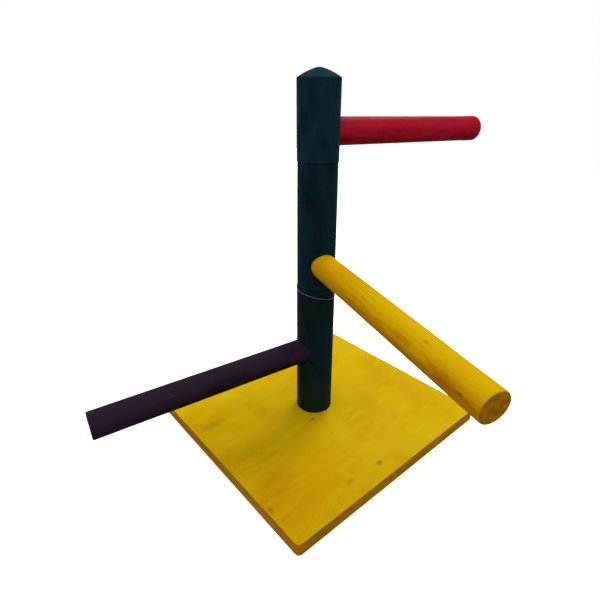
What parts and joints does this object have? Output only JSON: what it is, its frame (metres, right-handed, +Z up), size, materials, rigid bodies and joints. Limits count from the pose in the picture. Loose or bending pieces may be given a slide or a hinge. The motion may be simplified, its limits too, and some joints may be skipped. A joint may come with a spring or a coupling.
{
  "type": "training dummy",
  "caption": "Free-standing wooden training dummy: round post on a flat board, pointed cap, and round striking arms at several heights on turning sections.",
  "frame": {"origin": "on the rod's axis, at the underside of the base board (the plug that closes the board's pocket)", "axes": "+Z up along the post; +X and +Y along the board's sides; the picture's camera looks from between -X and -Y"},
  "size_m": [0.8776, 0.7028, 0.7232],
  "materials": {
    "yellow_paint": "brush-painted wood, satin, scuffed",
    "teal_paint": "brush-painted wood, satin, very dark",
    "red_paint": "brush-painted wood, satin",
    "purple_paint": "brush-painted wood, satin, nearly black",
    "bare_wood": "unpainted, sanded",
    "steel": "zinc-plated, satin",
    "pale_wire": "thin pale wire, satin",
    "nylon": "white nylon, matt"
  },
  "bodies": {
    "stand": {"base_board": "yellow_paint", "base_plug": "bare_wood", "base_screws": "steel", "center_rod": "steel", "base_washer": "steel", "base_nut": "steel", "foot_washer": "steel", "foot_nut": "steel", "lower_section": "teal_paint", "lower_arm": "purple_paint", "lower_arm_screws": "steel", "lower_arm_pellets": "teal_paint", "lower_thrust_washer": "nylon", "loose_ring": "pale_wire", "head_washer": "steel", "head_nut": "steel"},
    "middle_wing": {"middle_section": "teal_paint", "middle_arm": "yellow_paint", "middle_arm_screws": "steel", "middle_arm_pellets": "teal_paint", "middle_lower_bush": "nylon", "middle_upper_bush": "nylon", "middle_thrust_washer": "nylon"},
    "head_wing": {"head_section": "teal_paint", "head_arm": "red_paint", "head_arm_screws": "steel", "head_arm_pellets": "teal_paint", "head_lower_bush": "nylon", "head_upper_bush": "nylon", "head_cap": "teal_paint"}
  },
  "joints": [
    {"name": "middle_swivel", "type": "hinge", "parent": "stand", "child": "middle_wing", "pos_m": [0, 0, 0.3276], "axis": [0, 0, 1], "continuous": true},
    {"name": "head_swivel", "type": "hinge", "parent": "stand", "child": "head_wing", "pos_m": [0, 0, 0.5712], "axis": [0, 0, 1], "continuous": true}
  ]
}
